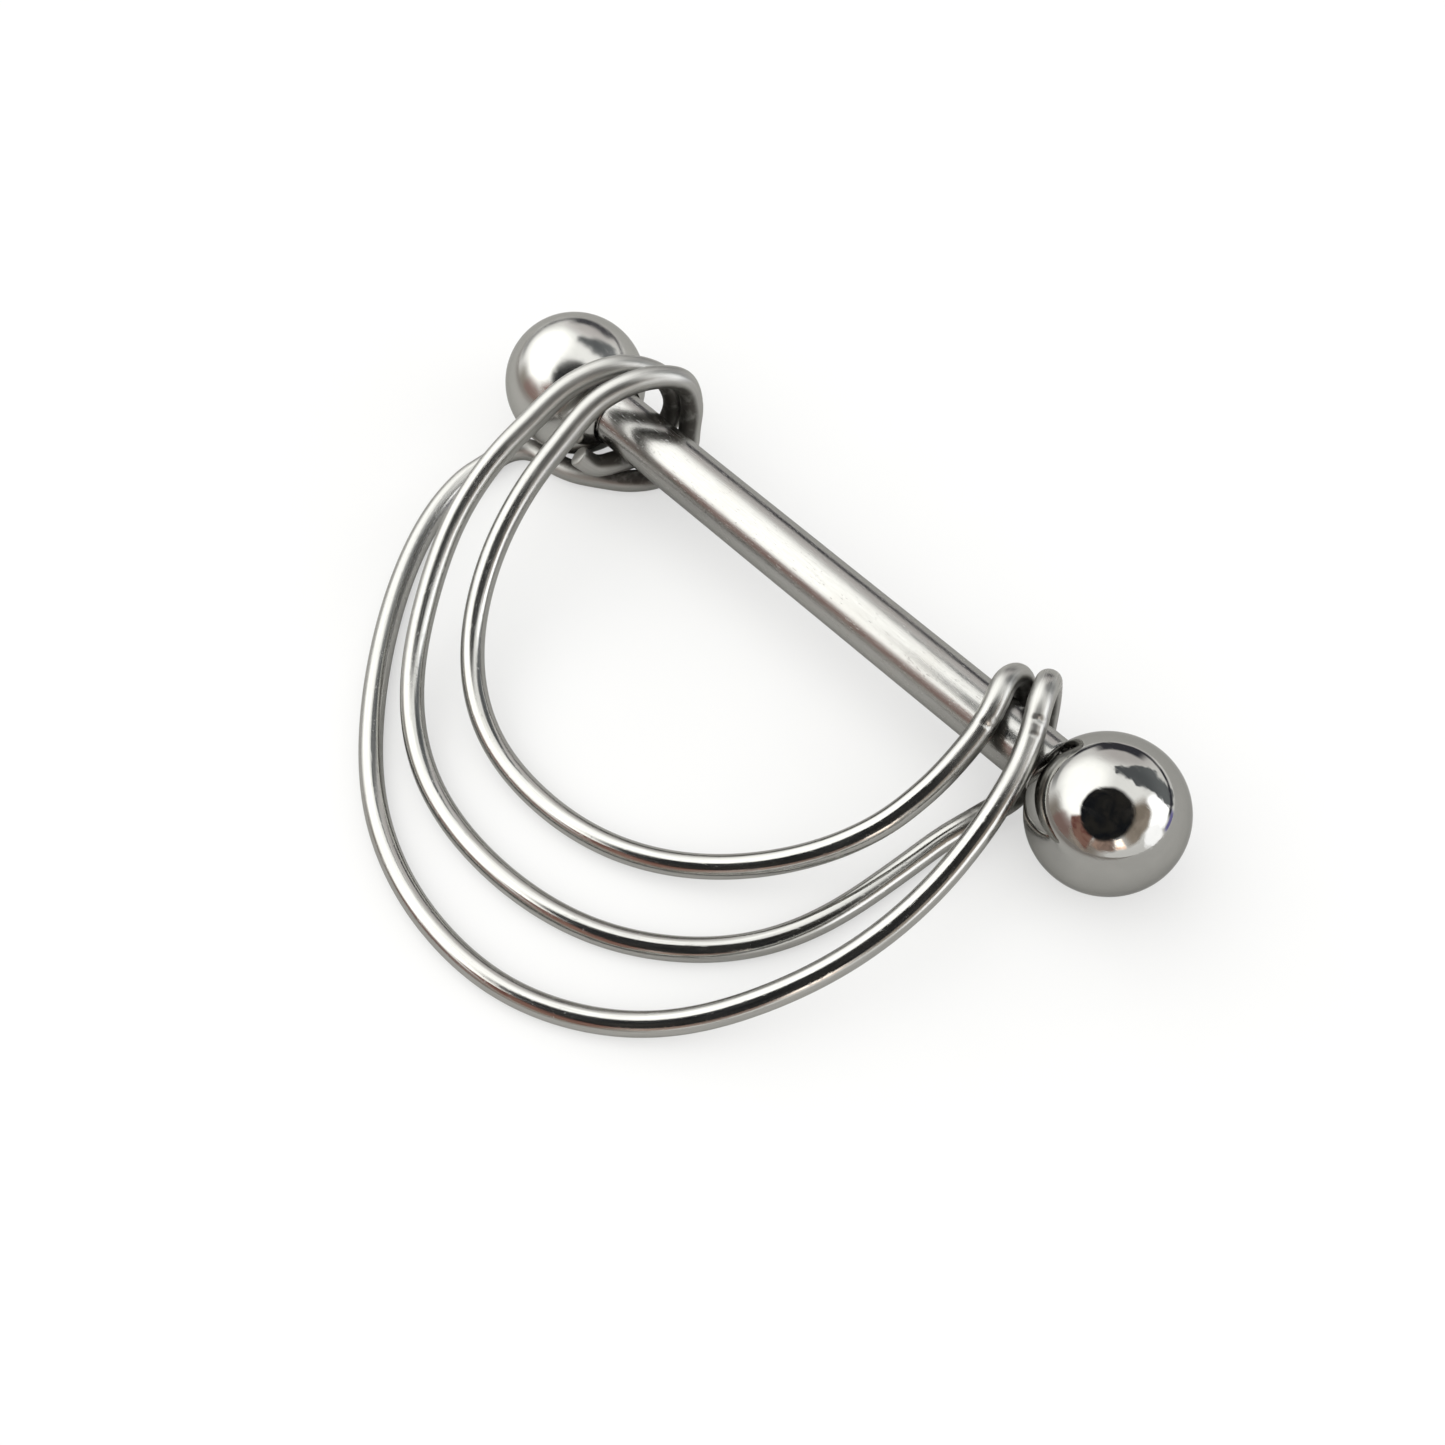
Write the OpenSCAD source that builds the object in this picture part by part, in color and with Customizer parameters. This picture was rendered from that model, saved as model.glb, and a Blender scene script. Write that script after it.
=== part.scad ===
// Straight barbell with a bent-wire dangle of three bows.
// X runs along the bar, +Z is up and the bows reach towards -Y.
// The origin is the middle of the bar, on its axis. Millimetres.

/* [Bar] */
// Length of the plain bar between the two balls
bar_len = 16; // [15.8:0.1:16.6]
// Diameter of the bar
bar_d = 1.6; // [1.4:0.05:1.6]
// Length of the screw post beyond each end of the plain bar
post_len = 2.45; // [1.75:0.35:2.45]
// Pitch of the screw thread
pitch = 0.35; // [0.3:0.05:0.35]

/* [Balls] */
// Diameter of the end balls
ball_d = 4; // [3.8:0.1:4]
// Radial clearance between the thread crests and the bore of a ball
bore_gap = 0.03; // [0.02:0.01:0.06]
// Gap left between the end of the post and the bottom of the bore
tip_gap = 0.15; // [0.1:0.05:0.3]

/* [Wire] */
// Diameter of the wire
wire_d = 0.64; // [0.5:0.02:0.64]
// How far the outermost bow reaches out from the bar's axis
bow_reach = 13.3; // [12.5:0.1:15]
// Sides of the wire's cross-section
wire_sides = 10; // [8:2:12]

/* [Hidden] */
$fn = 64;

bar_r = bar_d / 2;
ball_r = ball_d / 2;
// the post's crests are turned a little under the bar's own size
crest_r = bar_r - 0.01;
// basic thread depth of 0.6134 of the pitch
root_r = crest_r - 0.6134 * pitch;
bore_r = crest_r + bore_gap;
// the ball's bore mouth meets the end of the plain bar
ball_x = bar_len / 2 + sqrt(ball_r * ball_r - bore_r * bore_r);
turns = floor((post_len - 0.1) / pitch);

// Route of the wire's centre line, from the cut end of the left eye to the
// cut end of the right eye. It winds the same way round the bar all along.
// Left end eye: near side, under, up the far side and over the top.
left_eye = [
    [-8.0, -1.5, -0.4], [-7.75, -1.2, -0.85], [-7.55, -0.65, -1.0],
    [-7.4, 0.2, -1.2], [-7.3, 0.9, -0.85], [-7.2, 1.35, -0.2],
    [-7.2, 1.4, 0.6], [-7.4, 1.1, 1.4], [-7.9, 0.2, 2.0]];
// Middle bow: leaves the left eye over the bar, meets the right one under it.
middle_bow = [
    [-8.4, -1.1, 1.9], [-8.55, -2.7, 1.4], [-8.5, -4.3, 0.9],
    [-8.1, -5.9, 0.3], [-7.2, -7.6, -0.4], [-6.1, -9.1, -1.0],
    [-4.6, -10.3, -1.4], [-2.8, -11.0, -1.6], [-0.8, -11.2, -1.68],
    [1.2, -11.0, -1.68], [3.0, -10.4, -1.68], [4.6, -9.3, -1.68],
    [5.8, -7.9, -1.68], [6.5, -6.2, -1.68], [6.8, -4.4, -1.68],
    [7.0, -2.8, -1.6]];
// Right turn beside the ball: under the bar, up the far side, over the top.
right_turn = [
    [7.3, -1.5, -1.5], [7.55, -0.55, -1.3], [7.35, 0.25, -1.2],
    [7.05, 0.9, -0.8], [6.8, 1.3, -0.2], [6.7, 1.4, 0.4],
    [6.7, 1.3, 1.0], [6.85, 1.0, 1.4], [7.1, 0.45, 1.45]];
// Outer bow: leaves over the bar at the right, comes back under at the left.
outer_bow = [
    [7.5, -0.3, 1.15], [7.9, -1.4, 0.85], [8.2, -3.1, 0.4],
    [8.25, -5.0, -0.1], [7.9, -7.0, -0.6], [7.2, -8.8, -1.0],
    [6.1, -10.6, -1.4], [4.6, -12.0, -1.6], [2.6, -13.0, -1.68],
    [0.6, -13.3, -1.68], [-1.6, -13.1, -1.68], [-3.8, -12.3, -1.68],
    [-5.7, -11.0, -1.68], [-7.4, -9.4, -1.68], [-8.9, -7.6, -1.68],
    [-10.0, -5.8, -1.68], [-10.6, -4.2, -1.68]];
// Left turn, a loose loop inside of the end eye: under, far side, over.
left_turn = [
    [-10.6, -3.2, -1.68], [-10.55, -2.3, -1.68], [-10.1, -1.75, -1.68],
    [-9.3, -1.6, -1.68], [-8.6, -1.4, -1.68], [-7.9, -1.0, -1.68],
    [-7.15, -0.45, -1.68], [-6.6, 0.3, -1.6], [-6.4, 1.0, -1.1],
    [-6.5, 1.35, -0.3], [-6.5, 1.5, 0.6], [-6.6, 1.3, 1.6],
    [-7.0, 0.3, 2.1]];
// Inner bow: over the bar at both ends.
inner_bow = [
    [-7.4, -1.0, 1.95], [-7.4, -2.5, 1.4], [-7.2, -4.1, 0.8],
    [-6.7, -5.6, 0.2], [-5.9, -7.0, -0.5], [-4.8, -8.1, -1.0],
    [-3.2, -8.9, -1.4], [-1.4, -9.1, -1.6], [0.6, -8.9, -1.6],
    [2.4, -8.2, -1.5], [3.9, -7.1, -1.3], [5.1, -5.8, -0.9],
    [6.0, -4.3, -0.4], [6.4, -2.7, 0.2], [6.45, -1.2, 0.8],
    [6.3, -0.3, 1.2]];
// Right end eye: over, down the far side and under, inboard of the right turn.
right_eye = [
    [6.05, 0.4, 1.3], [6.0, 1.0, 0.85], [6.1, 1.2, 0.1],
    [6.15, 1.05, -0.6], [6.3, 0.65, -1.05], [6.4, 0.1, -1.2]];

route = concat(left_eye, middle_bow, right_turn, outer_bow, left_turn,
    inner_bow, right_eye);

// the route follows the bar's length and the reach asked for
function placed(p) = [p.x * bar_len / 16,
    p.y < -1.6 ? -1.6 + (p.y + 1.6) * (bow_reach - 1.6) / 11.7 : p.y, p.z];
function at(i) = let (n = len(route) - 1)
    i < 0 ? 2 * placed(route[0]) - placed(route[1]) :
    i > n ? 2 * placed(route[n]) - placed(route[n - 1]) : placed(route[i]);
// a smooth curve through every point of the route
function curve(i, t) = let (a = at(i - 1), b = at(i), c = at(i + 1), d = at(i + 2))
    (2 * b + (c - a) * t + (2 * a - 5 * b + 4 * c - d) * t * t
        + (3 * b - a - 3 * c + d) * t * t * t) / 2;
// long steps are cut finer than short ones
function steps(i) = norm(at(i + 1) - at(i)) > 1 ? 3 : 2;
centre = [for (i = [0:len(route) - 2]) for (k = [0:steps(i) - 1]) curve(i, k / steps(i)),
    at(len(route) - 1)];
last = len(centre) - 1;
function unit(v) = v / norm(v);
tangent = [for (i = [0:last]) unit(centre[min(i + 1, last)] - centre[max(i - 1, 0)])];
function square_to(v, t) = unit(v - (v * t) * t);
side = [for (i = 0, u = square_to([1, 0, 0], tangent[0]); i <= last;
    i = i + 1, u = i <= last ? square_to(u, tangent[i]) : u) u];

module barbell_shaft() color("silver") {
    // plain bar and both screw posts, turned in one piece
    rotate([0, 90, 0]) rotate_extrude($fn = 64) polygon(concat(
        [[0, -bar_len / 2 - post_len]],
        [[root_r - 0.05, -bar_len / 2 - post_len]],
        post_profile(-1),
        [[bar_r - 0.03, -bar_len / 2], [bar_r, -bar_len / 2 + 0.03]],
        [[bar_r, bar_len / 2 - 0.03], [bar_r - 0.03, bar_len / 2]],
        post_profile(1),
        [[root_r - 0.05, bar_len / 2 + post_len]],
        [[0, bar_len / 2 + post_len]]));
}
// crests and roots of one post's thread, walked in the direction of +X
function post_profile(s) = let (
    list = [for (k = [0:turns - 1]) let (x = bar_len / 2 + 0.1 + k * pitch)
        each [[root_r, x], [crest_r, x + pitch * 0.44],
              [crest_r, x + pitch * 0.56]]],
    all = concat(list, [[root_r, bar_len / 2 + 0.1 + turns * pitch]]))
    s > 0 ? all : [for (i = [len(all) - 1:-1:0]) [all[i][0], -all[i][1]]];

module end_ball(s) color("gainsboro") mirror([s < 0 ? 1 : 0, 0, 0]) difference() {
    translate([ball_x, 0, 0]) sphere(r = ball_r);
    translate([ball_x - ball_r - 1, 0, 0]) rotate([0, 90, 0])
        cylinder(r = bore_r, h = bar_len / 2 + post_len + tip_gap - ball_x + ball_r + 1);
}
module ball_left() end_ball(-1);
module ball_right() end_ball(1);

module bow_wire() color("lightgray") {
    n = wire_sides;
    polyhedron(
        points = [for (i = [0:last]) for (k = [0:n - 1])
            centre[i] + wire_d / 2 * (cos(360 * k / n) * side[i]
                + sin(360 * k / n) * cross(tangent[i], side[i]))],
        faces = concat(
            [[for (k = [0:n - 1]) k]],
            [for (i = [0:last - 1]) for (k = [0:n - 1]) each [
                [i * n + k, (i + 1) * n + k, (i + 1) * n + (k + 1) % n],
                [i * n + k, (i + 1) * n + (k + 1) % n, i * n + (k + 1) % n]]],
            [[for (k = [n - 1:-1:0]) last * n + k]]),
        convexity = 10);
}

barbell_shaft();
ball_left();
ball_right();
bow_wire();
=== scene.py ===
import math

import bpy
import numpy as np
from mathutils import Matrix, Vector


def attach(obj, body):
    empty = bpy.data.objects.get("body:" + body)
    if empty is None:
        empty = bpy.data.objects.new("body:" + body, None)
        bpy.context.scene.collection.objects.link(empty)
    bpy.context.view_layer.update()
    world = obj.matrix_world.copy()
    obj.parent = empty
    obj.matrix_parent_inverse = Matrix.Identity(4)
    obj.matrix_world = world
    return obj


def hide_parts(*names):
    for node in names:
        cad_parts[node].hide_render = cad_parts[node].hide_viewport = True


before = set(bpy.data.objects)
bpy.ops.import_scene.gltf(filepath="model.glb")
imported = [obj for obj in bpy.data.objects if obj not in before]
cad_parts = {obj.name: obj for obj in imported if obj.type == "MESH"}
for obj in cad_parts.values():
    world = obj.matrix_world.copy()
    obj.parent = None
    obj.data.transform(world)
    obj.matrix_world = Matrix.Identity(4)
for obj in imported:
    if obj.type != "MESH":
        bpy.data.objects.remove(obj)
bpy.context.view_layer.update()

MM = 0.001
scene = bpy.context.scene

# ---------------------------------------------------------------- sizes, in millimetres, as in the CAD model
BAR_R = 0.8
BAR_HALF = 8.0
POST = 2.45
PITCH = 0.35
CREST_R = 0.79
ROOT_R = CREST_R - 0.6134 * PITCH
BORE_R = 0.82
BALL_R = 2.0
BALL_X = BAR_HALF + math.sqrt(BALL_R ** 2 - BORE_R ** 2)
BORE_END = BAR_HALF + POST + 0.15
WIRE_R = 0.32
FLOOR_Z = -2.006

# ---------------------------------------------------------------- camera
cam_data = bpy.data.cameras.new("photo_camera")
cam_data.sensor_fit = "HORIZONTAL"
cam_data.sensor_width = 36.0
cam_data.lens = 36.0 * 1750.0 / 1445.0
cam_data.clip_start = 0.002
cam_data.clip_end = 5.0
cam = bpy.data.objects.new("photo_camera", cam_data)
scene.collection.objects.link(cam)
c_right = Vector((0.68556, 0.72656, -0.04607)).normalized()
c_back = Vector((0.40334, -0.32637, 0.85487)).normalized()
c_up = c_back.cross(c_right).normalized()
c_right = c_up.cross(c_back).normalized()
CAM_POS = Vector((19.149, -19.170, 37.621)) * MM
cam.matrix_world = Matrix((
    (c_right.x, c_up.x, c_back.x, CAM_POS.x),
    (c_right.y, c_up.y, c_back.y, CAM_POS.y),
    (c_right.z, c_up.z, c_back.z, CAM_POS.z),
    (0, 0, 0, 1)))
scene.camera = cam


# ---------------------------------------------------------------- node helpers
class Tree:
    """A small wrapper that adds nodes and links them."""

    def __init__(self, tree):
        self.t = tree
        self.n = tree.nodes
        self.l = tree.links
        self.n.clear()

    def add(self, kind, inputs=None, **props):
        node = self.n.new(kind)
        for k, v in props.items():
            setattr(node, k, v)
        for k, v in (inputs or {}).items():
            self.put(node, k, v)
        return node

    def put(self, node, key, v):
        sock = node.inputs[key]
        if isinstance(v, bpy.types.NodeSocket):
            self.l.new(v, sock)
        else:
            sock.default_value = v

    def math(self, op, a, b=0.0, c=0.0, clamp=False):
        n = self.n.new("ShaderNodeMath")
        n.operation = op
        n.use_clamp = clamp
        for i, v in enumerate((a, b, c)):
            if i < len(n.inputs):
                self.put(n, i, v)
        return n.outputs[0]

    def ramp(self, v, lo, hi, out_lo=0.0, out_hi=1.0, smooth=True):
        n = self.n.new("ShaderNodeMapRange")
        n.interpolation_type = "SMOOTHSTEP" if smooth else "LINEAR"
        n.clamp = True
        for k, x in (("Value", v), ("From Min", lo), ("From Max", hi), ("To Min", out_lo), ("To Max", out_hi)):
            self.put(n, k, x)
        return n.outputs[0]

    def mix(self, f, a, b):
        n = self.n.new("ShaderNodeMix")
        n.data_type = "RGBA"
        self.put(n, 0, f)
        self.put(n, 6, a)
        self.put(n, 7, b)
        return n.outputs[2]

    def mapping(self, vec, scale=(1, 1, 1), rot=(0, 0, 0), loc=(0, 0, 0)):
        n = self.n.new("ShaderNodeMapping")
        self.put(n, "Vector", vec)
        n.inputs["Scale"].default_value = scale
        n.inputs["Rotation"].default_value = rot
        n.inputs["Location"].default_value = loc
        return n.outputs[0]

    def noise(self, vec, scale, detail=3.0, rough=0.55, distort=0.0):
        n = self.n.new("ShaderNodeTexNoise")
        self.put(n, "Vector", vec)
        n.inputs["Scale"].default_value = scale
        n.inputs["Detail"].default_value = detail
        n.inputs["Roughness"].default_value = rough
        n.inputs["Distortion"].default_value = distort
        return n.outputs[0]


def new_material(name):
    m = bpy.data.materials.new(name)
    m.use_nodes = True
    return m, Tree(m.node_tree)


def principled(t, **constants):
    b = t.add("ShaderNodeBsdfPrincipled")
    for k, v in constants.items():
        b.inputs[k.replace("_", " ")].default_value = v
    out = t.add("ShaderNodeOutputMaterial")
    t.l.new(b.outputs[0], out.inputs[0])
    return b


# ---------------------------------------------------------------- materials
def ball_material(name, seed, dull_and_painted_lift=0.0):
    """Mirror-polished stainless steel: clear reflection, a few hairline scratches and faint handling smears. A nonzero
    dull setting roughens the finish and also paints the base colour lighter, a painted lightening that makes one ball
    paler than its twin.
    """
    m, t = new_material(name)
    b = principled(t, Metallic=1.0)
    b.inputs["Specular Tint"].default_value = (0.70, 0.70, 0.69, 1)
    obj = t.add("ShaderNodeTexCoord").outputs["Object"]
    p = t.mapping(obj, (1000, 1000, 1000), loc=(seed, seed * 0.7, seed * 1.3))
    smear = t.noise(p, 0.9, 4.0, 0.6, 0.6)
    fine = t.noise(p, 14.0, 2.0, 0.5)
    # the dull setting also multiplies the base colour up: painted light, making this ball a paler copy of the same
    # steel
    k = 1.0 + 1.6 * dull_and_painted_lift
    tint = t.mix(t.ramp(smear, 0.35, 0.7), (0.418 * k, 0.417 * k, 0.400 * k, 1), (0.445 * k, 0.442 * k, 0.424 * k, 1))
    t.put(b, "Base Color", tint)
    r = t.math("ADD", t.ramp(smear, 0.45, 0.75, 0.030 + dull_and_painted_lift, 0.070 + 1.4 * dull_and_painted_lift), t.ramp(fine, 0.4, 0.8, 0.0, 0.012))
    # hairlines in two directions
    lines = None
    for rot, sc in (((0.4, 0.9, 0.2), 7.0), ((1.9, 0.3, 1.2), 6.0), ((0.2, 2.2, 2.4), 8.0)):
        q = t.mapping(p, (0.16, 1.0, 1.0), rot=rot)
        s = t.ramp(t.noise(q, sc, 1.0, 0.4), 0.665, 0.69)
        lines = s if lines is None else t.math("MAXIMUM", lines, s)
    t.put(b, "Roughness", t.math("ADD", r, t.math("MULTIPLY", lines, 0.05)))
    h = t.math("SUBTRACT", t.math("MULTIPLY", fine, 0.25), lines)
    bump = t.add("ShaderNodeBump", {"Strength": 0.06, "Distance": 0.000004, "Height": h})
    t.put(b, "Normal", bump.outputs[0])
    return m


def bar_material(name):
    """Ground and polished bar stock: fine lines along the bar, small scratches, a soft broad highlight."""
    m, t = new_material(name)
    b = principled(t, Metallic=1.0)
    b.inputs["Specular Tint"].default_value = (0.70, 0.70, 0.69, 1)
    obj = t.add("ShaderNodeTexCoord").outputs["Object"]
    p = t.mapping(obj, (1000, 1000, 1000))
    grain = t.noise(t.mapping(p, (0.35, 9.0, 9.0)), 6.0, 4.0, 0.6)
    hair = t.noise(t.mapping(p, (0.12, 22.0, 22.0)), 5.0, 2.0, 0.5)
    cloud = t.noise(p, 0.8, 3.0, 0.55, 0.3)
    marks = t.ramp(t.noise(t.mapping(p, (0.9, 5.0, 5.0), rot=(0, 0.35, 0.25)), 4.0, 2.0, 0.5), 0.66, 0.70)
    pits = t.ramp(t.noise(p, 16.0, 2.0, 0.5), 0.70, 0.74)
    col = t.mix(t.ramp(grain, 0.3, 0.7), (0.405, 0.403, 0.386, 1), (0.470, 0.467, 0.450, 1))
    col = t.mix(t.ramp(cloud, 0.5, 0.8, 0.0, 0.35), col, (0.450, 0.432, 0.402, 1))
    t.put(b, "Base Color", col)
    r = t.math("ADD", t.ramp(grain, 0.3, 0.75, 0.14, 0.225), t.ramp(cloud, 0.35, 0.7, 0.0, 0.06))
    r = t.math("ADD", r, t.math("MULTIPLY", t.math("MAXIMUM", marks, pits), 0.12))
    t.put(b, "Roughness", r)
    h = t.math("ADD", t.math("MULTIPLY", grain, 0.5), t.math("MULTIPLY", hair, 0.5))
    h = t.math("SUBTRACT", h, t.math("MULTIPLY", t.math("MAXIMUM", marks, pits), 0.9))
    bump = t.add("ShaderNodeBump", {"Strength": 0.22, "Distance": 0.000006, "Height": h})
    t.put(b, "Normal", bump.outputs[0])
    return m


def wire_material(name):
    """Bright drawn wire: faint lines along its length, handling marks, dulled in the tight turns, and painted shade
    darkening the side of the turns that faces the bar.
    """
    m, t = new_material(name)
    b = principled(t, Metallic=1.0)
    b.inputs["Specular Tint"].default_value = (0.86, 0.86, 0.85, 1)
    # the UV map runs round the wire in U and along it, in millimetres, in V
    uv = t.add("ShaderNodeTexCoord").outputs["UV"]
    obj = t.add("ShaderNodeTexCoord").outputs["Object"]
    p = t.mapping(obj, (1000, 1000, 1000))
    sep = t.add("ShaderNodeSeparateXYZ", {"Vector": uv})
    ang = t.math("MULTIPLY", sep.outputs[0], 2 * math.pi)
    ring = t.add("ShaderNodeCombineXYZ", {
        "X": t.math("COSINE", ang), "Y": t.math("SINE", ang), "Z": t.math("MULTIPLY", sep.outputs[1], 0.11)})
    draw = t.noise(ring.outputs[0], 7.0, 4.0, 0.62)
    ring2 = t.add("ShaderNodeCombineXYZ", {
        "X": t.math("COSINE", ang), "Y": t.math("SINE", ang), "Z": t.math("MULTIPLY", sep.outputs[1], 0.8)})
    scuff = t.ramp(t.noise(ring2.outputs[0], 3.2, 3.0, 0.6, 0.4), 0.60, 0.68)
    dots = t.ramp(t.noise(p, 13.0, 2.0, 0.5), 0.69, 0.74)
    cloud = t.noise(p, 0.6, 3.0, 0.5, 0.2)
    col = t.mix(t.ramp(draw, 0.3, 0.7), (0.410, 0.409, 0.390, 1), (0.485, 0.483, 0.464, 1))
    col = t.mix(t.ramp(cloud, 0.5, 0.8, 0.0, 0.3), col, (0.455, 0.442, 0.410, 1))
    # duller where the wire is bent tight and rubs on the bar, within about 3 mm of the bar's axis
    sp = t.add("ShaderNodeSeparateXYZ", {"Vector": p})
    axis = t.math("SQRT", t.math("ADD", t.math("MULTIPLY", sp.outputs[1], sp.outputs[1]), t.math("MULTIPLY", sp.outputs[2], sp.outputs[2])))
    worn = t.math("MAXIMUM", t.ramp(axis, 3.0, 1.5), t.math("MULTIPLY", t.ramp(axis, 5.0, 2.0), t.ramp(sp.outputs[0], -3.0, -6.0)))
    # painted shade: on the side of a turn that looks at the bar, close to the bar's axis, the base colour is darkened
    # to a blotchy near-black that stands in for the shade between wire and bar
    flat = t.add("ShaderNodeVectorMath", {0: p, 1: (0.0, 1.0, 1.0)}, operation="MULTIPLY")
    out_ = t.add("ShaderNodeVectorMath", {0: flat.outputs[0]}, operation="NORMALIZE")
    face = t.add("ShaderNodeVectorMath", {0: out_.outputs[0], 1: t.add("ShaderNodeTexCoord").outputs["Normal"]}, operation="DOT_PRODUCT")
    inside = t.math("MULTIPLY", t.ramp(face.outputs["Value"], 0.05, -0.45), t.ramp(axis, 2.7, 1.9))
    inside = t.math("MULTIPLY", inside, t.ramp(t.noise(p, 2.6, 3.0, 0.6, 0.3), 0.25, 0.55, 0.45, 0.92))
    # the near-black colour mixed in here is painted shade on the side of the turns facing the bar
    t.put(b, "Base Color", t.mix(inside, col, (0.085, 0.080, 0.072, 1)))
    r = t.math("ADD", t.ramp(draw, 0.3, 0.75, 0.10, 0.175), t.math("MULTIPLY", scuff, 0.07))
    r = t.math("ADD", r, t.math("MULTIPLY", worn, t.ramp(cloud, 0.3, 0.7, 0.13, 0.24)))
    # the left half is a little duller all over
    r = t.math("ADD", r, t.ramp(sp.outputs[0], -2.0, -9.0, 0.0, 0.11))
    r = t.math("ADD", r, t.math("MULTIPLY", dots, 0.12))
    t.put(b, "Roughness", t.math("ADD", r, t.math("MULTIPLY", inside, 0.12)))
    h = t.math("SUBTRACT", draw, t.math("MULTIPLY", t.math("MAXIMUM", scuff, dots), 0.5))
    bump = t.add("ShaderNodeBump", {"Strength": 0.25, "Distance": 0.000006, "Height": h})
    t.put(b, "Normal", bump.outputs[0])
    return m


def floor_material():
    """A plain pale table, faintly lit from inside as a photographer's light table is."""
    m, t = new_material("pale_table")
    b = principled(t, Roughness=0.7, Emission_Strength=0.52)
    b.inputs["Specular IOR Level"].default_value = 0.1
    obj = t.add("ShaderNodeTexCoord").outputs["Object"]
    n = t.noise(t.mapping(obj, (60, 60, 60)), 3.0, 3.0, 0.5)
    t.put(b, "Base Color", t.mix(n, (0.310, 0.310, 0.308, 1), (0.325, 0.325, 0.323, 1)))
    t.put(b, "Emission Color", t.mix(n, (0.99, 0.99, 0.985, 1), (1.0, 1.0, 0.995, 1)))
    return m


def seen_table_material():
    """The table as the steel sees it: the same table unlit from inside, falling off into shade towards the near side."""
    m, t = new_material("table_in_the_steel")
    b = principled(t, Roughness=0.8)
    b.inputs["Specular IOR Level"].default_value = 0.1
    obj = t.add("ShaderNodeTexCoord").outputs["Object"]
    n = t.noise(t.mapping(obj, (90, 90, 90)), 3.0, 3.0, 0.5)
    pale = t.mix(n, (0.445, 0.440, 0.430, 1), (0.475, 0.470, 0.460, 1))
    sp = t.add("ShaderNodeSeparateXYZ", {"Vector": t.mapping(obj, (1000, 1000, 1000))})
    near = t.math("ADD", t.math("MULTIPLY", sp.outputs[0], -0.28), t.math("MULTIPLY", sp.outputs[1], -0.96))
    near = t.ramp(near, 10.0, 34.0)
    t.put(b, "Base Color", t.mix(near, pale, (0.240, 0.222, 0.208, 1)))
    return m


# ---------------------------------------------------------------- mesh helpers
def grid_mesh(name, rings, closed_ends, uv=None, angle=40.0):
    """A skin over rings of points (n x k x 3, millimetres), each ring closed. closed_ends caps both ends with a fan."""
    rings = np.asarray(rings, float) * MM
    n, k, _ = rings.shape
    verts = [tuple(v) for v in rings.reshape(-1, 3)]
    faces, loops = [], []
    for i in range(n - 1):
        for j in range(k):
            j2 = (j + 1) % k
            faces.append((i * k + j, i * k + j2, (i + 1) * k + j2, (i + 1) * k + j))
            loops.append(((i, j), (i, j + 1), (i + 1, j + 1), (i + 1, j)))
    if closed_ends:
        for end, i in ((0, 0), (1, n - 1)):
            c = len(verts)
            verts.append(tuple(rings[i].mean(0)))
            for j in range(k):
                j2 = (j + 1) % k
                if end == 0:
                    faces.append((c, i * k + j2, i * k + j))
                    loops.append(((i, j + 0.5), (i, j + 1), (i, j)))
                else:
                    faces.append((c, i * k + j, i * k + j2))
                    loops.append(((i, j + 0.5), (i, j), (i, j + 1)))
    me = bpy.data.meshes.new(name)
    me.from_pydata(verts, [], faces)
    layer = me.uv_layers.new(name="UVMap")
    flat = []
    for f in loops:
        for (i, j) in f:
            flat += [j / k, float(uv[i]) if uv is not None else i / (n - 1)]
    layer.data.foreach_set("uv", flat)
    me.validate()
    me.update()
    for poly in me.polygons:
        poly.use_smooth = True
    me.set_sharp_from_angle(angle=math.radians(angle))
    ob = bpy.data.objects.new(name, me)
    scene.collection.objects.link(ob)
    return ob


def smoothstep(a, b, x):
    t = np.clip((x - a) / (b - a), 0, 1)
    return t * t * (3 - 2 * t)


def thread_profile(phase):
    """Height 0 at the root to 1 at the crest of a rounded 60-degree thread."""
    f = phase - np.floor(phase)
    d = np.abs(f - 0.5)          # 0 at the crest's middle, 0.5 at the root's
    return 1 - smoothstep(0.0625, 0.375, d)


# ---------------------------------------------------------------- barbell shaft
def build_shaft():
    k = 128
    th = 2 * np.pi * np.arange(k) / k
    half = list(np.arange(0, 7.6, 0.4)) + [7.6, 7.75, 7.85, 7.93, 7.97, 8.0]
    half += list(np.arange(8.02, 8 + POST - 0.001, PITCH / 14)) + [8 + POST]
    half = np.array(half)
    xs = np.concatenate([-half[::-1], half[1:]])
    rings = []
    for x in xs:
        u = abs(x) - BAR_HALF
        if u <= 0:
            # the smallest of ovality and diameter drift, as real bar stock has
            r = np.full(k, BAR_R) - 0.0015 * (1 + np.sin(x * 1.3 + 2 * th)) / 2
            if u > -0.05:
                r = r - 0.03 * (1 - math.sqrt(max(0.0, 1 - ((u + 0.05) / 0.05) ** 2)))
        else:
            hand = th if x > 0 else -th
            full = smoothstep(0.0, 0.22, u)
            prof = thread_profile(u / PITCH - hand / (2 * np.pi) * 1.0)
            r = ROOT_R + (CREST_R - ROOT_R) * prof
            r = (1 - full) * (CREST_R - 0.01) + full * r
            # lead-in chamfer at the tip
            tip = POST - u
            r = np.minimum(r, ROOT_R - 0.06 + max(0.0, tip) * 1.1)
        rings.append(np.stack([np.full(k, x), r * np.cos(th), r * np.sin(th)], 1))
    ob = grid_mesh("barbell_shaft_steel", rings, True, angle=50)
    return ob


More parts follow.
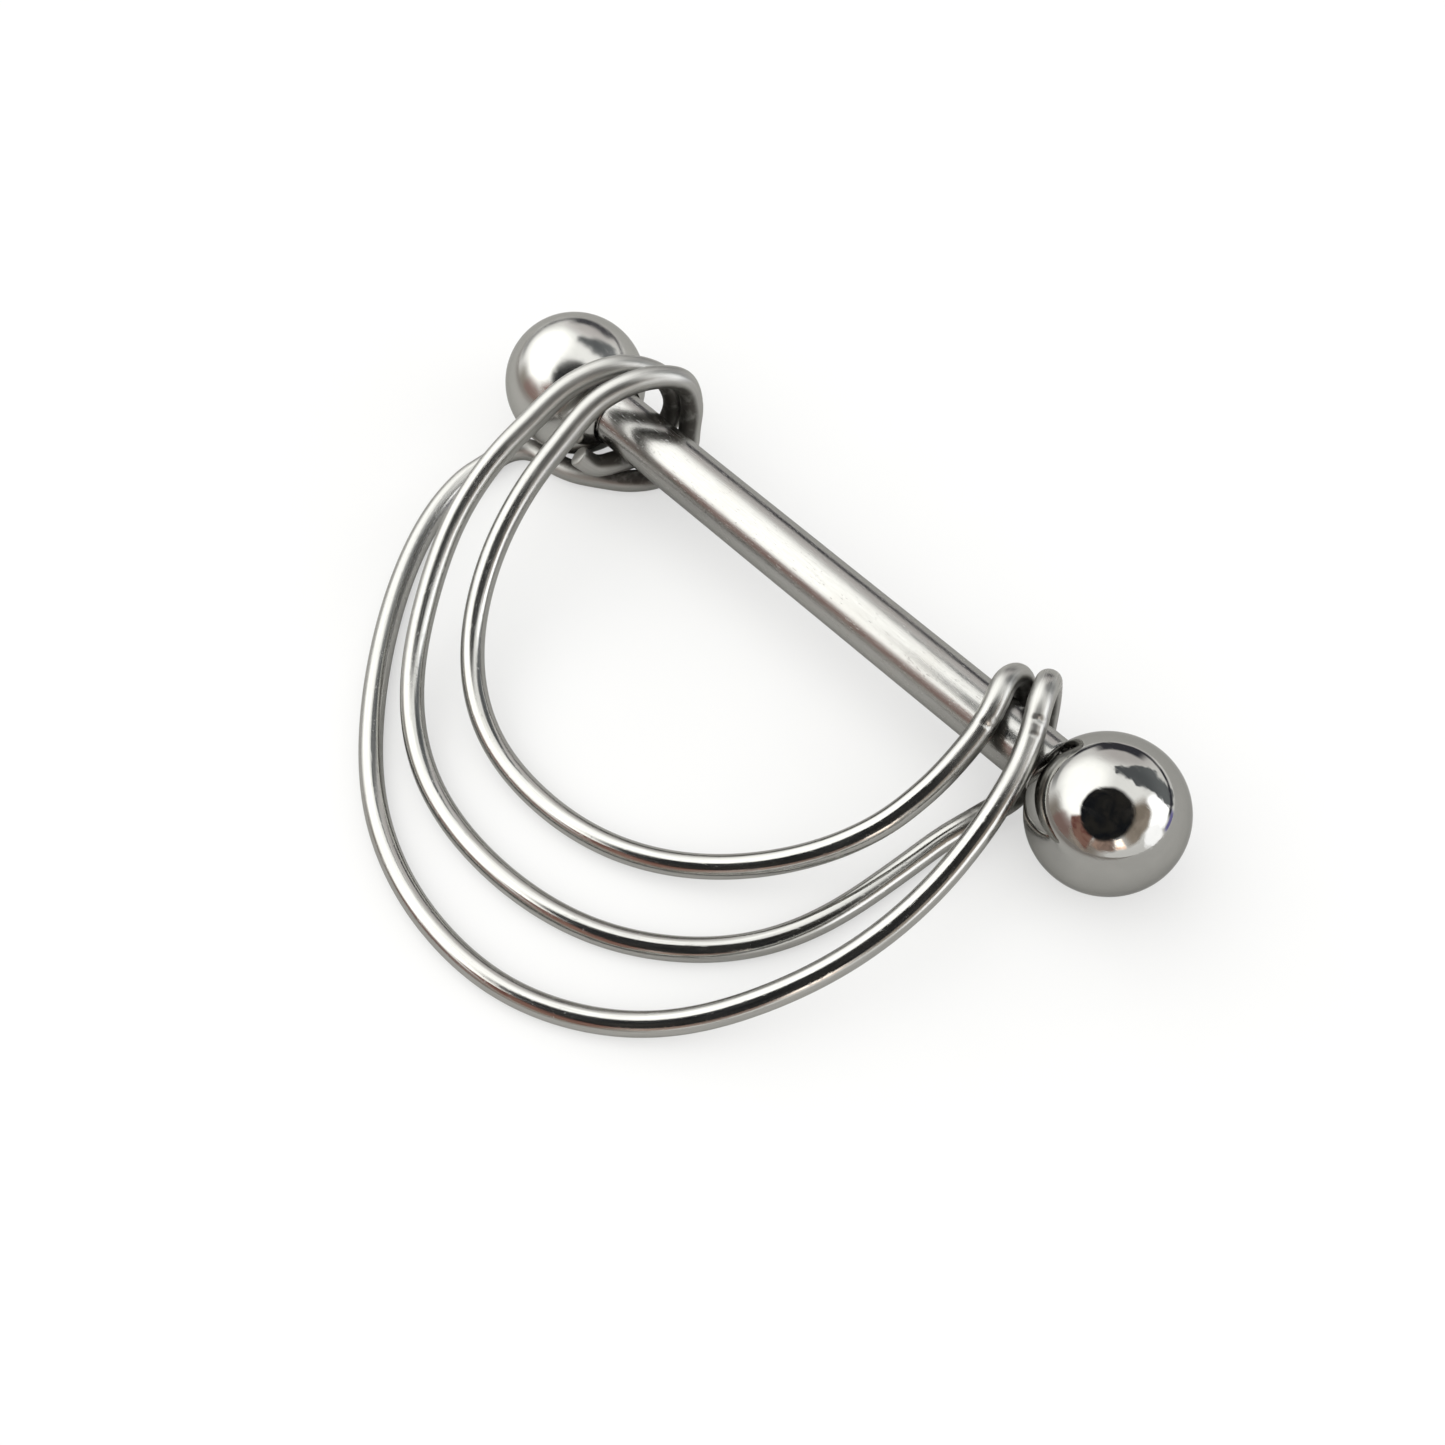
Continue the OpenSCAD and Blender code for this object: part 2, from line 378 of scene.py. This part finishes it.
# ---------------------------------------------------------------- end balls
def build_ball(name, s):
    """A ball drilled and tapped from one side: bore floor, threaded wall, countersunk mouth, polished sphere."""
    k = 192
    th = 2 * np.pi * np.arange(k) / k
    prof = []                                   # (x, r, thread amount), from the bore's floor out to the far pole
    prof += [(BORE_END + 0.22, 0.004, 0), (BORE_END + 0.16, 0.25, 0), (BORE_END + 0.08, 0.5, 0)]
    wall = np.arange(BORE_END, BAR_HALF + 0.16, -PITCH / 12)
    for i, x in enumerate(wall):
        prof.append((x, BORE_R, smoothstep(0, 0.2, BORE_END - x) * smoothstep(0.12, 0.35, x - BAR_HALF)))
    mouth_r = BORE_R + 0.045
    mouth_x = BALL_X - math.sqrt(BALL_R ** 2 - (mouth_r + 0.02) ** 2)
    for q in np.linspace(0, 1, 5):
        prof.append((BAR_HALF + 0.14 + (mouth_x - BAR_HALF - 0.14) * q, BORE_R + (mouth_r - BORE_R) * q, 0))
    a0 = math.asin((mouth_r + 0.02) / BALL_R)
    for a in np.linspace(a0, math.pi - 0.002, 150):
        prof.append((BALL_X - BALL_R * math.cos(a), BALL_R * math.sin(a), 0))
    rings = []
    for x, r, amount in prof:
        rr = np.full(k, r)
        if amount > 0:
            rr = rr + 0.10 * amount * (1 - thread_profile((x - BAR_HALF) / PITCH - s * th / (2 * np.pi) + 0.5))
        rings.append(np.stack([np.full(k, s * x), rr * np.cos(th), s * rr * np.sin(th)], 1))
    ob = grid_mesh(name, rings, True, angle=35)
    return ob


# ---------------------------------------------------------------- the bow wire
ROUTE = [
    # left end eye
    (-8.0, -1.5, -0.4), (-7.75, -1.2, -0.85), (-7.55, -0.65, -1.0),
    (-7.4, 0.2, -1.2), (-7.3, 0.9, -0.85), (-7.2, 1.35, -0.2),
    (-7.2, 1.4, 0.6), (-7.4, 1.1, 1.4), (-7.9, 0.2, 2.0),
    # middle bow
    (-8.4, -1.1, 1.9), (-8.55, -2.7, 1.4), (-8.5, -4.3, 0.9),
    (-8.1, -5.9, 0.3), (-7.2, -7.6, -0.4), (-6.1, -9.1, -1.0),
    (-4.6, -10.3, -1.4), (-2.8, -11.0, -1.6), (-0.8, -11.2, -1.68),
    (1.2, -11.0, -1.68), (3.0, -10.4, -1.68), (4.6, -9.3, -1.68),
    (5.8, -7.9, -1.68), (6.5, -6.2, -1.68), (6.8, -4.4, -1.68),
    (7.0, -2.8, -1.6),
    # right turn
    (7.3, -1.5, -1.5), (7.55, -0.55, -1.3), (7.35, 0.25, -1.2),
    (7.05, 0.9, -0.8), (6.8, 1.3, -0.2), (6.7, 1.4, 0.4),
    (6.7, 1.3, 1.0), (6.85, 1.0, 1.4), (7.1, 0.45, 1.45),
    # outer bow
    (7.5, -0.3, 1.15), (7.9, -1.4, 0.85), (8.2, -3.1, 0.4),
    (8.25, -5.0, -0.1), (7.9, -7.0, -0.6), (7.2, -8.8, -1.0),
    (6.1, -10.6, -1.4), (4.6, -12.0, -1.6), (2.6, -13.0, -1.68),
    (0.6, -13.3, -1.68), (-1.6, -13.1, -1.68), (-3.8, -12.3, -1.68),
    (-5.7, -11.0, -1.68), (-7.4, -9.4, -1.68), (-8.9, -7.6, -1.68),
    (-10.0, -5.8, -1.68), (-10.6, -4.2, -1.68),
    # left turn
    (-10.6, -3.2, -1.68), (-10.55, -2.3, -1.68), (-10.1, -1.75, -1.68), (-9.3, -1.6, -1.68), (-8.6, -1.4, -1.68), (-7.9, -1.0, -1.68),
    (-7.15, -0.45, -1.68), (-6.6, 0.3, -1.6), (-6.4, 1.0, -1.1),
    (-6.5, 1.35, -0.3), (-6.5, 1.5, 0.6), (-6.6, 1.3, 1.6),
    (-7.0, 0.3, 2.1),
    # inner bow
    (-7.4, -1.0, 1.95), (-7.4, -2.5, 1.4), (-7.2, -4.1, 0.8),
    (-6.7, -5.6, 0.2), (-5.9, -7.0, -0.5), (-4.8, -8.1, -1.0),
    (-3.2, -8.9, -1.4), (-1.4, -9.1, -1.6), (0.6, -8.9, -1.6),
    (2.4, -8.2, -1.5), (3.9, -7.1, -1.3), (5.1, -5.8, -0.9),
    (6.0, -4.3, -0.4), (6.4, -2.7, 0.2), (6.45, -1.2, 0.8),
    (6.3, -0.3, 1.2),
    # right end eye
    (6.05, 0.4, 1.3), (6.0, 1.0, 0.85), (6.1, 1.2, 0.1),
    (6.15, 1.05, -0.6), (6.3, 0.65, -1.05), (6.4, 0.1, -1.2)]


def wire_path(step=0.06):
    """The CAD route's own curve, resampled evenly and relaxed as stiff wire is: more on the bows, hardly at all on the tight turns."""
    P = np.array(ROUTE, float)
    P = np.vstack([2 * P[0] - P[1], P, 2 * P[-1] - P[-2]])
    pts = []
    for i in range(1, len(P) - 2):
        a, b, c, d = P[i - 1:i + 3]
        for t in np.arange(40) / 40.0:
            pts.append(0.5 * (2 * b + (c - a) * t + (2 * a - 5 * b + 4 * c - d) * t * t + (3 * b - a - 3 * c + d) * t ** 3))
    pts.append(P[-2])
    pts = np.array(pts)
    s = np.concatenate([[0], np.cumsum(np.linalg.norm(np.diff(pts, axis=0), axis=1))])
    n = int(round(s[-1] / step))
    t = np.linspace(0, s[-1], n + 1)
    C = np.stack([np.interp(t, s, pts[:, i]) for i in range(3)], 1)
    r = np.hypot(C[:, 1], C[:, 2])
    # spread of the relaxing kernel, in samples: wide where the wire is far out on a bow
    wide = smoothstep(2.6, 5.0, r)
    small, big = 0.16 / step, 1.15 / step
    A, B = relax(C, small), relax(C, big)
    C = A * (1 - wide[:, None]) + B * wide[:, None]
    C = relax(C, small)
    return C, np.linspace(0, 1, len(C)) * s[-1]


def blur(C, sigma):
    h = int(3 * sigma) + 1
    w = np.exp(-0.5 * (np.arange(-h, h + 1) / sigma) ** 2)
    w /= w.sum()
    pad = np.vstack([2 * C[0] - C[h:0:-1], C, 2 * C[-1] - C[-2:-h - 2:-1]])
    return np.stack([np.convolve(pad[:, i], w, mode="valid") for i in range(3)], 1)


def relax(C, sigma):
    """Blur that keeps the curve where it is: the inward pull of one pass is added back from the second."""
    once = blur(C, sigma)
    return 2 * once - blur(once, sigma)


def build_wire():
    C, s = wire_path()
    n = len(C)
    k = 28
    T = np.gradient(C, axis=0)
    T /= np.linalg.norm(T, axis=1)[:, None]
    u = np.array([1.0, 0, 0])
    U = np.zeros_like(C)
    for i in range(n):
        u = u - T[i] * np.dot(u, T[i])
        u /= np.linalg.norm(u)
        U[i] = u
    V = np.cross(T, U)
    th = 2 * np.pi * np.arange(k) / k
    # radius, with the slight flattening that bending round a mandrel leaves on the tight turns
    K = np.gradient(T, axis=0) / np.linalg.norm(np.gradient(C, axis=0), axis=1)[:, None]
    K = blur(K, 4)
    kap = np.linalg.norm(K, axis=1)
    R = np.full((n, k), WIRE_R)
    flat = 0.035 * smoothstep(0.25, 0.8, kap)
    kd = K / np.maximum(kap, 1e-6)[:, None]
    ca = np.arctan2((kd * V).sum(1), (kd * U).sum(1))
    R = R * (1 - flat[:, None] * np.cos(th[None, :] - ca[:, None]) ** 2 + 0.6 * flat[:, None] * np.sin(th[None, :] - ca[:, None]) ** 2)
    # plier marks: small sharp bites across the wire, with a raised lip, at places given in millimetres
    N = U[:, None, :] * np.cos(th)[None, :, None] + V[:, None, :] * np.sin(th)[None, :, None]
    S = C[:, None, :] + WIRE_R * N
    for at, size, deep in BITES:
        d = np.linalg.norm(S - np.array(at), axis=2)
        i0 = np.unravel_index(d.argmin(), d.shape)
        along = (s[:, None] - s[i0[0]])
        round_ = (np.angle(np.exp(1j * (th[None, :] - th[i0[1]])))) * WIRE_R
        # a wedge: steep on one side, shallow on the other, fading round the wire
        a = along / size
        cut = np.where(a < 0, smoothstep(-0.7, 0.0, a), smoothstep(1.2, 0.0, a)) * np.exp(-(round_ / (size * 1.5)) ** 2)
        lip = 0.22 * np.exp(-((a + 0.62) / 0.22) ** 2) * np.exp(-(round_ / (size * 1.3)) ** 2)
        R = R - deep * cut + deep * lip
    # ends: cut across a little askew, with a small rounded edge
    rings = C[:, None, :] + R[:, :, None] * N
    rings = list(rings)
    caps0, caps1 = [], []
    for q in (0.0, 0.35, 0.7, 0.9):
        rr = R[0] * (0.80 + 0.20 * math.sin(math.acos(1 - q)))
        caps0.append(C[0] - T[0] * 0.05 * (1 - q) + rr[:, None] * N[0] - T[0] * 0.05 * np.cos(th)[:, None])
    for q in (0.9, 0.7, 0.35, 0.0):
        rr = R[-1] * (0.80 + 0.20 * math.sin(math.acos(1 - q)))
        caps1.append(C[-1] + T[-1] * 0.05 * (1 - q) + rr[:, None] * N[-1] + T[-1] * 0.05 * np.cos(th)[:, None])
    skew = np.linspace(1, 0, 8)[:7]
    for i in range(7):
        rings[i] = rings[i] - T[0] * 0.05 * np.cos(th)[:, None] * skew[i]
        rings[-1 - i] = rings[-1 - i] + T[-1] * 0.05 * np.cos(th)[:, None] * skew[i]
    rings = caps0 + rings + caps1
    v = np.concatenate([[s[0]] * 4, s, [s[-1]] * 4])
    # U runs along the wire's own rings so that the face normals point out
    return grid_mesh("bow_wire_steel", [r[::-1] for r in rings], True, uv=v, angle=45)


# places of the plier marks, how long each is and how deep, in millimetres
BITES = [
    ((6.61, -0.79, 1.25), 0.13, 0.050),
    ((6.66, -0.60, 1.36), 0.06, 0.030),
    ((7.47, 0.03, 1.58), 0.11, 0.050),
    ((7.62, -0.30, 1.44), 0.06, 0.030),
    ((8.10, -2.60, 0.90), 0.05, 0.010),
    ((-7.30, 1.50, -0.90), 0.10, 0.030),
    ((-10.7, -3.0, -1.45), 0.08, 0.020),
    ((-6.30, 1.90, 0.60), 0.08, 0.025),
    ((6.00, 1.40, 0.90), 0.07, 0.020),
]

shaft = build_shaft()
ball_l = build_ball("ball_left_steel", -1)
ball_r = build_ball("ball_right_steel", 1)
wire = build_wire()

for ob, mat, node, body, slot in (
        (shaft, bar_material("polished_bar"), "barbell_shaft", "bar", "bar_steel"),
        # left ball: rougher, and its base colour painted lighter than the right ball's
        (ball_l, ball_material("mirror_ball_a", 3.1, 0.12), "ball_left", "left_ball", "ball_steel"),
        (ball_r, ball_material("mirror_ball_b", 11.7), "ball_right", "right_ball", "ball_steel"),
        (wire, wire_material("drawn_wire"), "bow_wire", "dangle", "wire_steel")):
    ob.data.materials.append(mat)
    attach(ob, body)
    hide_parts(node)
    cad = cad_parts[node]
    cad.data.materials.clear()
    cad.data.materials.append(mat)


# ---------------------------------------------------------------- floor
def build_floor(name, z, material):
    me = bpy.data.meshes.new(name)
    h = 0.6
    me.from_pydata([(-h, -h, z * MM), (h, -h, z * MM), (h, h, z * MM), (-h, h, z * MM)], [], [(0, 1, 2, 3)])
    ob = bpy.data.objects.new(name, me)
    scene.collection.objects.link(ob)
    me.materials.append(material)
    return ob


table = build_floor("table", FLOOR_Z, floor_material())
table.visible_glossy = False
# the same table again, for reflections only
seen = build_floor("table_seen", FLOOR_Z + 0.0005, seen_table_material())
seen.visible_camera = False
seen.visible_diffuse = False
seen.visible_shadow = False


def build_backdrop(radius=0.56, rows=24, cols=96):
    """A plain pale dome behind everything, for the camera alone: the steel and the table are lit by the room beyond it."""
    verts, faces = [], []
    for i in range(rows + 1):
        e = math.radians(-2 + 92 * i / rows)
        for j in range(cols):
            a = 2 * math.pi * j / cols
            verts.append((radius * math.cos(e) * math.cos(a), radius * math.cos(e) * math.sin(a), radius * math.sin(e)))
    for i in range(rows):
        for j in range(cols):
            k, k2 = i * cols + j, i * cols + (j + 1) % cols
            faces.append((k, k + cols, k2 + cols, k2))
    me = bpy.data.meshes.new("backdrop")
    me.from_pydata(verts, [], faces)
    ob = bpy.data.objects.new("backdrop", me)
    scene.collection.objects.link(ob)
    m, t = new_material("pale_backdrop")
    obj = t.add("ShaderNodeTexCoord").outputs["Object"]
    n = t.noise(t.mapping(obj, (6, 6, 6)), 1.0, 2.0, 0.5)
    e = t.add("ShaderNodeEmission", {"Color": t.mix(n, (1.0, 0.998, 0.992, 1), (1.02, 1.02, 1.015, 1)), "Strength": 1.0})
    out = t.add("ShaderNodeOutputMaterial")
    t.l.new(e.outputs[0], out.inputs[0])
    me.materials.append(m)
    for ray in ("diffuse", "glossy", "transmission", "volume_scatter", "shadow"):
        setattr(ob, "visible_" + ray, False)


build_backdrop()


# ---------------------------------------------------------------- light
def build_world():
    """A white room: broad bright side at upper left, a window low on the right, a few darker things on the far side."""
    w = bpy.data.worlds.new("soft_studio")
    scene.world = w
    w.use_nodes = True
    t = Tree(w.node_tree)
    d = t.add("ShaderNodeTexCoord").outputs["Generated"]
    # wavering outlines, as the edges of real things in a room have
    wob = t.add("ShaderNodeTexNoise", {"Vector": d})
    wob.inputs["Scale"].default_value = 3.5
    wob.inputs["Detail"].default_value = 2.0
    shift = t.add("ShaderNodeVectorMath", operation="MULTIPLY_ADD")
    t.put(shift, 0, wob.outputs["Color"])
    shift.inputs[1].default_value = (0.07, 0.07, 0.07)
    shift.inputs[2].default_value = (-0.035, -0.035, -0.035)
    dw = t.add("ShaderNodeVectorMath", operation="ADD")
    t.put(dw, 0, d)
    t.put(dw, 1, shift.outputs[0])
    dw = dw.outputs[0]

    def spot(az, el, r_in, r_out, plain=True):
        """1 inside r_in degrees of a direction, 0 outside r_out. Not plain: with a wavering outline."""
        a, e = math.radians(az), math.radians(el)
        n = t.add("ShaderNodeVectorMath", operation="DOT_PRODUCT")
        t.put(n, 0, d if plain else dw)
        n.inputs[1].default_value = (math.cos(e) * math.cos(a), math.cos(e) * math.sin(a), math.sin(e))
        return t.ramp(n.outputs["Value"], math.cos(math.radians(r_out)), math.cos(math.radians(r_in)))

    def facing(az, a_in, a_out):
        """1 within a_in degrees of a compass direction, whatever the height, 0 beyond a_out."""
        flat = t.add("ShaderNodeVectorMath", operation="MULTIPLY")
        t.put(flat, 0, d)
        flat.inputs[1].default_value = (1, 1, 0)
        unit = t.add("ShaderNodeVectorMath", operation="NORMALIZE")
        t.put(unit, 0, flat.outputs[0])
        n = t.add("ShaderNodeVectorMath", operation="DOT_PRODUCT")
        t.put(n, 0, unit.outputs[0])
        n.inputs[1].default_value = (math.cos(math.radians(az)), math.sin(math.radians(az)), 0)
        return t.ramp(n.outputs["Value"], math.cos(math.radians(a_out)), math.cos(math.radians(a_in)))

    z = t.add("ShaderNodeSeparateXYZ", {"Vector": d}).outputs[2]
    zw = t.add("ShaderNodeSeparateXYZ", {"Vector": dw}).outputs[2]
    col = t.mix(t.ramp(z, 0.0, 0.9), (1.15, 1.14, 1.12, 1), (1.60, 1.60, 1.58, 1))
    # the big soft light
    col = t.mix(spot(189, 46, 13, 42), col, (2.42, 2.42, 2.38, 1))
    col = t.mix(spot(228, 44, 10, 32), col, (2.50, 2.49, 2.44, 1))
    # the far side is dimmer and faintly rosy
    col = t.mix(spot(117, 20, 10, 34), col, (0.88, 0.84, 0.825, 1))
    # the window on the right
    col = t.mix(spot(33, 26, 17, 23, False), col, (2.75, 2.77, 2.82, 1))
    col = t.mix(spot(10, 11, 9, 16, False), col, (2.2, 2.2, 2.25, 1))
    # a long dark thing on the far side, high on the left and low on the right
    dark = spot(110, 53, 6, 9, False)
    for az, el, r in ((104, 54, 9), (97, 52, 11), (87, 47, 13), (79, 37, 14), (80, 22, 9), (69, 28, 14), (61, 20, 12), (58, 10, 7)):
        dark = t.math("MAXIMUM", dark, spot(az, el, r - 1.5, r + 1.5, False))
    col = t.mix(dark, col, t.mix(t.ramp(z, 0.3, 0.75), (0.25, 0.265, 0.275, 1), (0.155, 0.165, 0.175, 1)))
    # the dark line between the table's far edge and the backdrop, thicker on the left
    line = t.math("MULTIPLY", t.ramp(zw, 0.05, 0.08), t.ramp(zw, 0.165, 0.125))
    line = t.math("MULTIPLY", line, facing(100, 56, 66))
    thick = t.math("MULTIPLY", t.ramp(zw, 0.02, 0.06), t.ramp(zw, 0.38, 0.30))
    thick = t.math("MULTIPLY", thick, facing(120, 14, 25))
    low = t.math("MULTIPLY", t.math("MULTIPLY", t.ramp(zw, 0.01, 0.04), t.ramp(zw, 0.20, 0.14)), facing(160, 24, 44))
    col = t.mix(t.math("MULTIPLY", low, 0.7), col, (0.22, 0.22, 0.23, 1))
    col = t.mix(t.math("MAXIMUM", line, thick), col, (0.07, 0.07, 0.085, 1))
    # bluish glint where that line ends, and a warm low wall on the near side
    col = t.mix(t.math("MULTIPLY", spot(36, 3, 6, 14), t.ramp(z, 0.10, 0.06)), col, (0.30, 0.28, 0.62, 1))
    warm = t.math("MULTIPLY", facing(-104, 34, 56), t.ramp(zw, 0.40, 0.16))
    col = t.mix(warm, col, (0.43, 0.385, 0.340, 1))
    col = t.mix(t.math("MULTIPLY", spot(-116, 8, 7, 20, False), 0.7), col, (0.36, 0.20, 0.18, 1))
    bg = t.add("ShaderNodeBackground", {"Color": col, "Strength": 1.0})
    out = t.add("ShaderNodeOutputWorld")
    t.l.new(bg.outputs[0], out.inputs[0])
    w.cycles.sampling_method = "MANUAL"
    w.cycles.sample_map_resolution = 512


build_world()


def card(name, verts, faces, material):
    """A card that only shows as a reflection: it casts no shadow and the camera doesn't see it."""
    me = bpy.data.meshes.new(name)
    me.from_pydata([tuple(v) for v in verts], [], faces)
    ob = bpy.data.objects.new(name, me)
    scene.collection.objects.link(ob)
    me.materials.append(material)
    ob.visible_camera = False
    ob.visible_shadow = False
    ob.visible_diffuse = False
    return ob


def ring_card(name, material, back, r0, r1, a0, a1, steps=48, wobble=1.0, shift=(0.0, 0.0)):
    """Part of a flat ring round the lens's own line of sight, at a distance behind it. Radii in metres, angles in degrees.
    U runs from end to end of the arc and V from the inner edge to the outer one."""
    o = CAM_POS + c_back * back + c_right * shift[0] + c_up * shift[1]
    verts, faces = [], []
    for i in range(steps + 1):
        a = math.radians(a0 + (a1 - a0) * i / steps)
        wob = 1 + wobble * (0.05 * math.sin(3.1 * a + 0.6) + 0.035 * math.sin(7.3 * a) + 0.02 * math.sin(17.0 * a + 1.0))
        for r in (r0, r1 * wob):
            verts.append(o + c_right * (r * math.cos(a)) + c_up * (r * math.sin(a)))
        if i:
            k = 2 * i
            faces.append((k - 2, k - 1, k + 1, k))
    ob = card(name, verts, faces, material)
    layer = ob.data.uv_layers.new(name="UVMap")
    for poly in ob.data.polygons:
        for li in poly.loop_indices:
            vi = ob.data.loops[li].vertex_index
            layer.data[li].uv = ((vi // 2) / steps, vi % 2)
    return ob


def card_material(name, a, b, scale, ends, rim, glow=0.0):
    """Mottled cloth or a lamp, whose edges fade out: ends and rim say over how much of U and V."""
    m, t = new_material(name)
    tc = t.add("ShaderNodeTexCoord")
    n = t.noise(t.mapping(tc.outputs["Object"], (scale, scale, scale)), 1.0, 3.0, 0.6, 0.5)
    col = t.mix(t.ramp(n, 0.35, 0.65), a, b)
    if glow:
        sh = t.add("ShaderNodeEmission", {"Color": col, "Strength": glow})
    else:
        sh = t.add("ShaderNodeBsdfDiffuse", {"Color": col})
    sep = t.add("ShaderNodeSeparateXYZ", {"Vector": tc.outputs["UV"]})
    keep = t.ramp(sep.outputs[1], 1.0, 1.0 - rim)
    if ends:
        keep = t.math("MULTIPLY", keep, t.ramp(sep.outputs[0], 0.0, ends))
        keep = t.math("MULTIPLY", keep, t.ramp(sep.outputs[0], 1.0, 1.0 - ends))
    clear = t.add("ShaderNodeBsdfTransparent")
    mixer = t.add("ShaderNodeMixShader")
    t.put(mixer, 0, keep)
    t.l.new(clear.outputs[0], mixer.inputs[1])
    t.l.new(sh.outputs[0], mixer.inputs[2])
    out = t.add("ShaderNodeOutputMaterial")
    t.l.new(mixer.outputs[0], out.inputs[0])
    return m


# the lens and the hands round it, as the steel sees them
ring_card("lens_card", card_material("lens_black", (0.012, 0.014, 0.018, 1), (0.035, 0.033, 0.030, 1), 60, 0.0, 0.20),
          0.001, 0.0, 0.0380, 0, 360, 96, 0.35, (-0.0055, 0.0010))
ring_card("hand_card_a", card_material("hand_a", (0.22, 0.075, 0.065, 1), (0.42, 0.24, 0.19, 1), 34, 0.12, 0.28),
          0.002, 0.026, 0.088, 178, 242)
ring_card("hand_card_c", card_material("hand_far", (0.44, 0.36, 0.31, 1), (0.58, 0.50, 0.44, 1), 20, 0.25, 0.35),
          0.004, 0.046, 0.125, 194, 248)
ring_card("hand_card_b", card_material("hand_b", (0.40, 0.34, 0.28, 1), (0.54, 0.46, 0.39, 1), 30, 0.22, 0.35),
          0.002, 0.026, 0.060, 292, 392)
ring_card("lamp_card_a", card_material("lamp_a", (2.2, 1.4, 1.0, 1), (3.4, 3.1, 2.8, 1), 60, 0.25, 0.4, 1.0),
          0.0005, 0.031, 0.056, 282, 302, 16)
ring_card("lamp_card_b", card_material("hand_d", (0.66, 0.46, 0.37, 1), (0.32, 0.23, 0.20, 1), 45, 0.2, 0.35),
          0.003, 0.026, 0.062, 236, 288, 24)

scene.view_settings.view_transform = "Standard"
scene.view_settings.look = "None"
